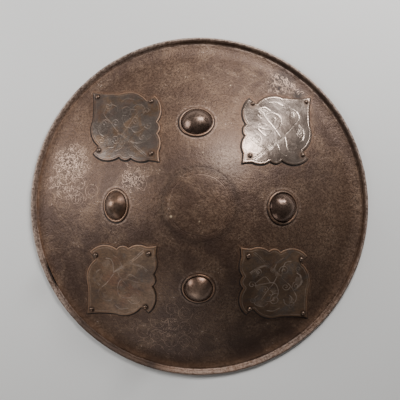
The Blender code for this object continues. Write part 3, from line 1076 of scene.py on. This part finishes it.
def make_scrollwork(material):
    """What is left of the inlaid scrolls, as thin strips a hair proud of the plate."""
    draw = random.Random(5)
    strokes = []
    for number, row_radius in enumerate(scroll_rows):
        strokes += running_scroll(draw, row_radius, number)
    strokes += small_curls(draw)
    points = []
    faces = []
    kept = []
    for line, start_width, end_width, pitch in strokes:
        middle = line[len(line) // 2]
        well_kept = float(kept_at(np.array(middle[0]), np.array(middle[1])))
        if well_kept < scroll_least_kept or not in_the_open(line):
            continue
        length = sum(math.dist(a, b) for a, b in zip(line, line[1:]))
        steps = max(3, round(length / pitch))
        path = evenly(line, steps)
        way = np.gradient(path, axis=0)
        way /= np.linalg.norm(way, axis=1)[:, None]
        side = np.stack([-way[:, 1], way[:, 0]], -1)
        half = np.linspace(start_width, end_width, steps + 1)[:, None] / 2
        strip = [
            on_plate(path + side * half, -scroll_lift),
            on_plate(path, scroll_lift),
            on_plate(path - side * half, -scroll_lift),
            on_plate(path, -3 * scroll_lift),
        ]
        base = len(points)
        for row in zip(*strip):
            points.extend(row)
        for step in range(steps):
            first = base + 4 * step
            for corner in range(4):
                after = (corner + 1) % 4
                faces.append((first + corner, first + after, first + 4 + after, first + 4 + corner))
        end = base + 4 * steps
        faces.append((base + 3, base + 2, base + 1, base))
        faces.append((end, end + 1, end + 2, end + 3))
        kept += [well_kept] * (4 * (steps + 1))
    points = np.array(points)
    blank = np.zeros(len(points))
    wear_and_highlight = kept_at(points[:, 0], points[:, 1]) * 0.5
    values = {"kept": kept, "rust": blank, "dirt_and_shade": blank, "wear_and_highlight": wear_and_highlight}
    piece = mesh_piece("worn_scrollwork", points, faces, material, values)
    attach(piece, "root")


# Plaques

# Each plaque's finish: how far it has browned over, its lightness (mostly painted light and shade:
# lighter where the lamps catch it, darker where it lies in shade), how clear its lines are, the way
# in degrees its edge is lit from, how much wear and painted highlight the lit edge has, and the
# least darkening all round that edge, which painted shade deepens on the side turned away
plaque_looks = {
    "northeast": (0.05, 1.34, 0.75, 70.0, 0.20, 0.55),
    "northwest": (0.55, 0.77, 0.21, 45.0, 0.90, 0.0),
    "southwest": (1.0, 1.18, 0.45, 115.0, 0.60, 0.0),
    "southeast": (0.80, 0.70, 0.66, 75.0, 0.60, 0.0),
}
mirrored_plaques = ("northwest", "southeast")
groove_depth = 0.00025
groove_half_width = 0.00062
border_inset = 0.0030
faint = 0.55
drawn_step = 0.00025
wobble_reach = 0.0009
outline_step = 0.0005
plaque_unevenness = 0.00009
plaque_edge_width = 0.0014
plaque_edge_drop = 0.00065
under_margin = 8
under_step = 12

# The engraved spray in a plaque's plan, in millimetres from the corner nearest the middle.
# Each stroke is a smooth line through its points, with the width of its pair of lines.
spray_stem = (((16, 7), (30, 18), (42, 27), (52, 34)), 2.2)
spray_strokes = (
    (((52, 36), (62, 47), (71, 58), (69, 66), (62, 70), (56, 68), (54, 63)), 0.0),
    (((52, 34), (53, 28), (54, 22), (57, 17), (63, 16)), 0.0),
    (((27, 62), (36, 50), (46, 35)), 0.0),
    (((31, 64), (40, 64), (47, 58), (47, 49), (42, 42), (31, 43), (19, 46)), 0.0),
    (((19, 43), (25, 38), (32, 35), (38, 42)), 0.0),
    (((12, 31), (20, 24), (30, 21), (36, 23)), 1.8),
    (((38, 52), (41, 55), (40, 58), (37, 57)), 0.0),
    (((24, 57), (19, 62), (21, 69), (29, 71), (35, 67)), 0.0),
    (((42, 25), (46, 17), (53, 12)), 0.0),
    (((50, 74), (43, 78), (34, 77)), 0.0),
    (((70, 50), (76, 43), (75, 34), (70, 30)), 1.4),
    (((61, 58), (65, 61), (64, 65)), 0.0),
)

# Hatched patches: the middle, the reach, and the heading of the strokes in degrees
spray_hatches = (
    ((34, 21), 3.4, 110),
    ((41, 27), 3.4, 110),
    ((46, 32), 3.2, 10),
    ((73, 40), 6.0, 70),
    ((26, 65), 6.0, 25),
    ((42, 52), 4.5, 60),
    ((62, 23), 5.0, 130),
    ((64, 63), 4.0, 150),
    ((18, 31), 6.0, 60),
    ((25, 48), 5.0, 100),
)
hatch_pitch = 1.5

# Scrolls that the mirrored plaques have besides: the middle, the reach, the heading of the
# outer end in degrees, the turns and the way round
spray_scrolls = (
    ((31, 51), 5.5, 200, 1.5, 1),
    ((15, 45), 5.5, 20, 1.3, -1),
    ((44, 63), 7.5, 300, 1.6, -1),
    ((66, 69), 5.0, 120, 1.2, 1),
    ((55, 27), 6.5, 170, 1.6, 1),
    ((22, 29), 5.0, 60, 1.3, -1),
    ((69, 47), 5.5, 250, 1.4, -1),
    ((17, 63), 4.5, 330, 1.2, 1),
    ((72, 25), 4.0, 90, 1.2, 1),
    ((56, 47), 5.0, 10, 1.3, 1),
)


def through(points):
    """A smooth line through some points."""
    points = np.array(points, dtype=float)
    first = 2 * points[0] - points[1]
    last = 2 * points[-1] - points[-2]
    path = np.concatenate([[first], points, [last]])
    line = []
    for before, start, end, after in zip(path, path[1:], path[2:], path[3:]):
        for share in np.arange(0, 1, 0.1):
            straight = (end - before) * share
            bend = (2 * before - 5 * start + 4 * end - after) * share**2
            twist = (3 * start - before - 3 * end + after) * share**3
            line.append((2 * start + straight + bend + twist) / 2)
    line.append(points[-1])
    return np.array(line)


def beside(line, distance):
    """A line that runs beside another, closing on it towards its end."""
    way = np.gradient(line, axis=0)
    way /= np.linalg.norm(way, axis=1)[:, None]
    taper = np.linspace(1.0, 0.35, len(line))[:, None]
    return line + distance * taper * np.stack([-way[:, 1], way[:, 0]], -1)


def spray(draw, mirrored):
    """The strokes of the spray on one plaque and, apart, its fainter hatching, in metres."""
    strong = []
    weak = []
    stem = through(spray_stem[0])
    stem_lines = [beside(stem, side * spray_stem[1] / 2) for side in (1, -1)]
    if not mirrored:
        strong += stem_lines
    else:
        weak += stem_lines
        for (x, y), reach, degrees, turns, side in spray_scrolls:
            scroll = spiral((x / 1000, y / 1000), reach / 1000, math.radians(degrees), turns, side, 0.15)
            strong.append(np.array(scroll) * 1000)
    for points, width in spray_strokes:
        line = through(points)
        if width:
            strong += [beside(line, width / 2), beside(line, -width / 2)]
        else:
            strong.append(line)
    for middle, reach, degrees in spray_hatches:
        heading = math.radians(degrees + draw.uniform(-12, 12))
        along = np.array([math.cos(heading), math.sin(heading)])
        across = np.array([-along[1], along[0]])
        count = round(reach / hatch_pitch)
        for number in range(-count, count + 1):
            out = number * hatch_pitch
            half = math.sqrt(max(0.0, reach**2 - out**2)) * draw.uniform(0.6, 1.0)
            if half > 0.8:
                start = np.array(middle) + across * out
                weak.append(np.array([start - along * half, start + along * half]))
    for lines in (strong, weak):
        for number, line in enumerate(lines):
            lines[number] = (line[:, ::-1] if mirrored else line) / 1000
    return strong, weak


def dense(lines, step):
    """Points all along some lines, no further apart than a step."""
    found = []
    for line in lines:
        length = sum(math.dist(a, b) for a, b in zip(line, line[1:]))
        found.append(evenly(line, max(2, math.ceil(length / step))))
    return np.concatenate(found)


def plaque_grid(cells):
    """A grid of plan points whose sides follow the plaque's outline."""
    along, up, back, down = [evenly(side, cells) for side in plaque_quarters(outline_step)]
    top = back[::-1]
    left = down[::-1]
    u = np.linspace(0, 1, cells + 1)[None, :, None]
    v = np.linspace(0, 1, cells + 1)[:, None, None]
    grid = (1 - v) * along[None] + v * top[None] + (1 - u) * left[:, None] + u * up[:, None]
    grid -= (1 - u) * (1 - v) * along[0] + u * (1 - v) * along[-1]
    grid -= (1 - u) * v * top[0] + u * v * top[-1]
    return grid


def plaque_engraving(plan, from_edge, seed, mirrored):
    """How deep a plaque is engraved at each point, from 0 to 1: a border line and the spray."""
    draw = random.Random(seed)
    wobble = [plane_waves(seed, 8, 0.020, 0.070), plane_waves(seed + 1, 8, 0.020, 0.070)]
    engraving = faint * np.clip(1 - np.abs(from_edge - border_inset) / groove_half_width, 0, 1)
    for lines, strength in zip(spray(draw, mirrored), (1.0, faint)):
        drawn = dense(lines, drawn_step)
        shift = [unevenness(waves, drawn[:, 0], drawn[:, 1]) for waves in wobble]
        from_line = nearest(plan, drawn + wobble_reach * np.stack(shift, -1))
        engraving = np.maximum(engraving, strength * np.clip(1 - from_line / groove_half_width, 0, 1))
    return engraving


def plaque_wear_and_light(side, plan, from_edge):
    """Where a plaque is rusty, dirty and worn, from 0 to 1 at each point, with painted highlight on
    the edges turned to the lamps and painted shade on those turned away.
    """
    *_, lit_from, edge_wear_and_highlight, edge_dirt = plaque_looks[side]
    from_rivet = nearest(plan, np.array(list(rivet_places.values())))
    lit = math.radians(lit_from) - plaque_turns[side]
    outward = (plan / (np.array(plaque_far_corner) / 2) - 1) ** 5
    outward /= np.maximum(np.linalg.norm(outward, axis=1), tiny)[:, None]
    facing = outward @ np.array([math.cos(lit), math.sin(lit)])
    by_edge = np.clip(1.5 - from_edge / 0.0009, 0, 1)
    by_rivet = np.clip(1.6 - from_rivet / (rivet_head_radius + 0.0004), 0, 1)
    rust = np.maximum(bell(from_rivet, 0.0046), 0.7 * bell(from_edge, 0.0022))
    # Darker round the rivets, and painted shade on the edge on the side turned from the light
    dirt_and_shade = np.maximum(by_rivet, by_edge * np.clip(-1.3 * facing, edge_dirt, 0.85))
    # Wear on the edge, with a painted highlight on the side turned to the light
    wear_and_highlight = edge_wear_and_highlight * by_edge * np.clip(0.35 + 1.2 * facing, 0, 1)
    return rust, dirt_and_shade, wear_and_highlight


def make_plaque(side, material, seed):
    """An engraved plaque, bent to the dome, a little uneven and with a rivet at each corner."""
    turn = plaque_turns[side]
    plan = plaque_grid(plaque_cells).reshape(-1, 2)
    from_edge = nearest(plan, plaque_loop)
    engraving = plaque_engraving(plan, from_edge, seed, side in mirrored_plaques)
    rust, dirt_and_shade, wear_and_highlight = plaque_wear_and_light(side, plan, from_edge)
    bent = unevenness(plane_waves(seed + 2, 10, 0.014, 0.050), plan[:, 0], plan[:, 1])
    edge_round = np.clip(1 - from_edge / plaque_edge_width, 0, 1) ** 2
    low = groove_depth * engraving + plaque_unevenness * (1 + bent / 2) + plaque_edge_drop * edge_round
    world = turned_plan(plan + corner_shift, turn)
    upper = on_dome(world[:, 0], world[:, 1], seat_gap + plaque_thickness - low)

    width = plaque_cells + 1
    index = np.arange(width * width).reshape(width, width)
    corners = [index[:-1, :-1], index[:-1, 1:], index[1:, 1:], index[1:, :-1]]
    faces = np.stack([corner.ravel() for corner in corners], -1).tolist()
    loop = list(index[0, :-1]) + list(index[:-1, -1]) + list(index[-1, :0:-1]) + list(index[:0:-1, 0])
    count = len(loop)

    rim = [Vector(plan[i]) for i in loop]
    sparse = slice(under_margin, -under_margin, under_step)
    middle = [Vector(plan[i]) for i in index[sparse, sparse].ravel()]
    edges = [(i, (i + 1) % count) for i in range(count)]
    flat, _, triangles, *_ = delaunay_2d_cdt(rim + middle, edges, [], 1, tiny)
    flat = np.array([tuple(point) for point in flat])
    under = turned_plan(flat + corner_shift, turn)
    lower = on_dome(under[:, 0], under[:, 1], underside)
    base = len(upper)
    faces += [[base + i for i in reversed(triangle)] for triangle in triangles]
    for i in range(count):
        after = (i + 1) % count
        faces.append([loop[i], base + i, base + after, loop[after]])
    points = np.concatenate([upper, lower])
    blank = np.zeros(len(lower))
    values = {
        "engraving": np.concatenate([engraving, blank]),
        "rust": np.concatenate([rust, blank + 0.6]),
        "dirt_and_shade": np.concatenate([dirt_and_shade, blank + 0.5]),
        "wear_and_highlight": np.concatenate([wear_and_highlight, blank]),
    }
    piece = mesh_piece("engraved_plaque_" + side, points, faces, material, values)
    places = [frame_on_dome(*rivet_plan[side, corner]) for corner in rivet_places]
    cut(piece, drills(places, rivet_shank_radius + bore_gap, 4 * plaque_thickness), "DIFFERENCE")
    stands_for(piece, "plaque_" + side)


# Bosses, rivets and fittings

boss_groove_width = 0.0005
boss_groove_depth = 0.0006
boss_lip_height = 0.0009
boss_segments = 96
boss_cap_steps = 24
boss_lip_steps = 12
boss_under_radii = (0.0180, 0.0130, 0.0080)
boss_filing = 0.010
boss_dent_depth = 0.00012

# Each boss: how rubbed its top is, and how rusty it is towards the top of the slope
boss_looks = {"east": (0.30, 0.10), "north": (0.40, 0.05), "west": (0.50, 0.90), "south": (1.00, 0.40)}


def make_boss(side, material, seed):
    """A polished dome on a thin flange that was filed by eye."""
    width_down, width_across = boss_widths[side]
    rubbing, rusting = boss_looks[side]
    flange_radius = width_across / 2
    dome_radius = flange_radius - boss_flange_width
    flange_top = seat_gap + boss_flange_thickness
    dome_top = flange_top + boss_dome_height
    groove_floor = flange_top - boss_groove_depth
    lip_foot = dome_radius + boss_groove_width
    lip_half = (flange_radius - lip_foot) / 2
    socket = bolt_radius + bore_gap
    socket_top = bolt_reach_in_boss + bore_gap
    cap_radius = (dome_radius**2 + boss_dome_height**2) / (2 * boss_dome_height)
    sweep = 2 * math.atan(boss_dome_height / dome_radius)
    profile = []
    for step in range(boss_cap_steps):
        angle = sweep * step / boss_cap_steps
        profile.append((cap_radius * math.sin(angle), dome_top - cap_radius * (1 - math.cos(angle))))
    profile.append((dome_radius, groove_floor))
    for step in range(boss_lip_steps + 1):
        angle = math.pi * (1 - step / boss_lip_steps)
        height = groove_floor + boss_lip_height * math.sin(angle)
        profile.append((lip_foot + lip_half * (1 + math.cos(angle)), height))
    profile += [(radius, underside) for radius in (flange_radius, *boss_under_radii, socket)]
    profile += [(socket, socket_top), (0.0, socket_top)]
    points, faces = turned(profile, boss_segments)

    radius = np.hypot(points[:, 0], points[:, 1])
    angle = np.arctan2(points[:, 1], points[:, 0])
    draw = random.Random(seed)
    wave = sum(math.cos(draw.random() * 6) / k * np.sin(k * angle + draw.random() * 6) for k in (2, 3, 5, 8))
    outside = np.clip((radius - dome_radius) / (flange_radius - dome_radius), 0, 1)
    points[:, :2] *= (1 - outside * boss_filing * (1 + wave * 0.8))[:, None]
    on_top = points[:, 2] > flange_top + boss_lip_height
    dented = unevenness(plane_waves(seed, 8, 0.008, 0.020), points[:, 0], points[:, 1])
    points[:, 2] -= on_top * boss_dent_depth * (1 + dented)
    high = np.clip((points[:, 2] - flange_top) / boss_dome_height, 0, 1)
    points[:, 0] *= np.where(radius > socket + bore_gap, width_down / width_across, 1.0)
    inward = np.clip(0.5 - points[:, 0] / dome_radius, 0, 1)
    # The dark line in the groove round the dome is painted shade
    values = {
        "rubbed": np.maximum(rubbing * high**2, bell(radius - lip_foot - lip_half, 0.0009)),
        "rust": np.where(radius > dome_radius, 0.8, rusting * inward),
        "dirt_and_shade": 0.6 * bell(radius - dome_radius - boss_groove_width / 2, 0.0005),
    }
    points = settle(points, frame_on_dome(*boss_places[side]))
    piece = mesh_piece("polished_boss_" + side, points, faces, material, values)
    stands_for(piece, "boss_" + side)


def make_rivet(side, corner, material, seed):
    """A rivet with a hammered head."""
    place = frame_on_dome(*rivet_plan[side, corner])
    under_head = seat_gap + plaque_thickness
    over_tail = -sheet - seat_gap * 0.5
    head = []
    for step in range(9):
        angle = math.pi / 2 * step / 8
        head.append((rivet_head_radius * math.sin(angle), under_head + rivet_head_height * math.cos(angle)))
    tail = []
    for step in range(6):
        angle = math.pi / 2 * step / 5
        tail.append((rivet_tail_radius * math.cos(angle), over_tail - rivet_tail_height * math.sin(angle)))
    head[0] = (0.0, head[0][1])
    tail[-1] = (0.0, tail[-1][1])
    profile = head + [(rivet_shank_radius, under_head), (rivet_shank_radius, over_tail)] + tail
    points, faces = turned(profile, 24)
    dented = unevenness(plane_waves(seed, 6, 0.003, 0.008), points[:, 0] + points[:, 2], points[:, 1])
    points[:, :2] *= (1 - 0.05 * (1 + dented))[:, None]
    turn = np.array(place.to_3x3())
    points = points @ turn.T + np.array(place.translation)
    piece = mesh_piece("hammered_rivet_" + side + "_" + corner, points, faces, material)
    stands_for(piece, "rivet_" + side + "_" + corner)


def make_fittings(side, material):
    """The washer, the bolt with its eye, and the loose ring behind a boss."""
    place = frame_on_dome(*boss_places[side])
    washer_top = -sheet - seat_gap
    washer_bottom = washer_top - washer_thickness
    hole = bolt_radius + bore_gap
    profile = [(hole, washer_bottom), (hole, washer_top)]
    profile += [(washer_radius, washer_top)]
    corner = (washer_radius, washer_bottom)
    profile += rounded((washer_radius, washer_top), corner, (hole, washer_bottom), 0.0005, 4)
    points, faces = turned(profile, 40, closed=True)
    washer = mesh_piece("iron_washer_" + side, settle(points, place), faces, material)
    stands_for(washer, "washer_" + side)

    collar_top = washer_bottom - seat_gap
    collar_bottom = -sheet - inner_gap - washer_thickness - seat_gap - collar_thickness
    profile = [(0.0, bolt_reach_in_boss), (bolt_radius, bolt_reach_in_boss), (bolt_radius, collar_top)]
    upper = (collar_radius, collar_top)
    lower = (collar_radius, collar_bottom)
    profile += rounded((0.0, collar_top), upper, lower, 0.0004, 3)
    profile += rounded(upper, lower, (0.0, collar_bottom), 0.0006, 4)
    profile += [(0.0, collar_bottom)]
    points, faces = turned(profile, 28)
    bolt = mesh_piece("ring_bolt_" + side + "_forged", points, faces, material)
    eye_height = collar_bottom - eye_mean_radius - eye_wire_radius + eye_sunk
    points, faces = wire_ring(eye_mean_radius, eye_wire_radius, 40, 14)
    eye = mesh_piece("eye", points, faces, material)
    eye.data.transform(Matrix.Translation((0.0, 0.0, eye_height)) @ Matrix.Rotation(math.pi / 2, 4, "X"))
    cut(bolt, eye, "UNION")
    bolt.data.transform(place)
    stands_for(bolt, "ring_bolt_" + side)

    eye_middle = place @ Vector((0.0, 0.0, eye_height))
    drop = eye_opening_radius - ring_wire_radius - seat_gap + ring_mean_radius
    outward = Vector((eye_middle.x, eye_middle.y, 0.0)).normalized()
    points, faces = wire_ring(ring_mean_radius, ring_wire_radius, 64, 14)
    ring = mesh_piece("loose_ring_" + side, points, faces, material)
    hang = Vector((0.0, 0.0, 1.0)).rotation_difference(outward).to_matrix().to_4x4()
    hang.translation = eye_middle - Vector((0.0, 0.0, drop))
    ring.data.transform(hang)
    stands_for(ring, "grip_ring_" + side)


# Floor, light and camera


# Each lamp: the way to it, its distance from the shield, its size and its watts
lamps = {
    "upper_right": ((0.27, 0.70, 0.66), 1.00, 0.42, 8.6),
    "glint": ((0.563, 0.664, 0.492), 1.23, 0.18, 7.0),
    "left": ((-0.86, 0.22, 0.42), 0.95, 0.50, 5.9),
    "front": ((-0.34, -0.92, 0.20), 1.30, 0.80, 3.2),
}
floor_reach = 6.0
sky_strength = 0.10


def area_light(name, way, distance, size, watts):
    """A soft round light that shines on the shield from one way."""
    data = bpy.data.lights.new(name, "AREA")
    data.shape = "DISK"
    data.size = size
    data.energy = watts
    lamp = bpy.data.objects.new(name, data)
    way = Vector(way).normalized()
    lamp.location = way * distance
    lamp.rotation_euler = (-way).to_track_quat("-Z", "Y").to_euler()
    bpy.context.scene.collection.objects.link(lamp)


def make_studio():
    """A pale floor, a dim grey sky and the lamps."""
    bm = bmesh.new()
    bmesh.ops.create_grid(bm, x_segments=1, y_segments=1, size=floor_reach)
    mesh = bpy.data.meshes.new("studio_floor")
    bm.to_mesh(mesh)
    bm.free()
    shade = Shade("pale_floor")
    tone = shade.mix(shade.noise(3.0), colour(0.70, 0.69, 0.67), colour(0.76, 0.75, 0.73))
    mesh.materials.append(shade.finish(tone, 0.85, 0.0, shade.bump(shade.noise(900.0), 0.05, 0.0004)))
    floor = bpy.data.objects.new("studio_floor", mesh)
    bpy.context.scene.collection.objects.link(floor)

    world = bpy.data.worlds.new("studio")
    world.use_nodes = True
    sky = world.node_tree.nodes["Background"]
    sky.inputs["Color"].default_value = colour(0.85, 0.84, 0.84)
    sky.inputs["Strength"].default_value = sky_strength
    bpy.context.scene.world = world
    for name, lamp in lamps.items():
        area_light(name, *lamp)


# The photograph looks almost straight down the shield's axis, from a little below it
camera_distance = 2.0
sensor_width = 36.0
camera_tilt = math.radians(1.2)
image_pixels = 400
shield_width_pixels = 337.5
shield_centre_pixels = (199.5, 206.0)


def make_camera():
    """A camera whose picture has the shield where the photograph has it."""
    metres_per_pixel = 2 * rim_radius / shield_width_pixels
    aim_x = (image_pixels / 2 - shield_centre_pixels[0]) * metres_per_pixel
    aim_y = (shield_centre_pixels[1] - image_pixels / 2) * metres_per_pixel
    away = Vector((0.0, -math.sin(camera_tilt), math.cos(camera_tilt)))
    data = bpy.data.cameras.new("camera")
    data.sensor_width = sensor_width
    data.lens = sensor_width * camera_distance / (image_pixels * metres_per_pixel)
    camera = bpy.data.objects.new("camera", data)
    camera.location = Vector((aim_x, aim_y, 0.0)) + away * camera_distance
    camera.rotation_euler = (camera_tilt, 0.0, 0.0)
    bpy.context.scene.collection.objects.link(camera)
    bpy.context.scene.camera = camera


make_camera()
make_studio()
make_plate(plate_material())
make_scrollwork(inlay_material())
grime_and_shadow_finish = grime_and_shadow_material()
for side in plaque_turns:
    make_grime_and_shadow("grime_round_plaque_" + side, plaque_loops[side], grime_and_shadow_finish)
for side in boss_places:
    make_grime_and_shadow("grime_round_boss_" + side, boss_edge(side), grime_and_shadow_finish)
for number, (side, looks) in enumerate(plaque_looks.items()):
    make_plaque(side, plaque_material(*looks[:3]), plaque_seed + seed_step * number)
boss_finish = boss_material()
fitting_finish = fitting_material()
for number, side in enumerate(boss_places):
    make_boss(side, boss_finish, boss_seed + seed_step * number)
    make_fittings(side, fitting_finish)
rivet_finish = rivet_material()
for number, (side, corner) in enumerate(rivet_plan):
    make_rivet(side, corner, rivet_finish, rivet_seed + number)
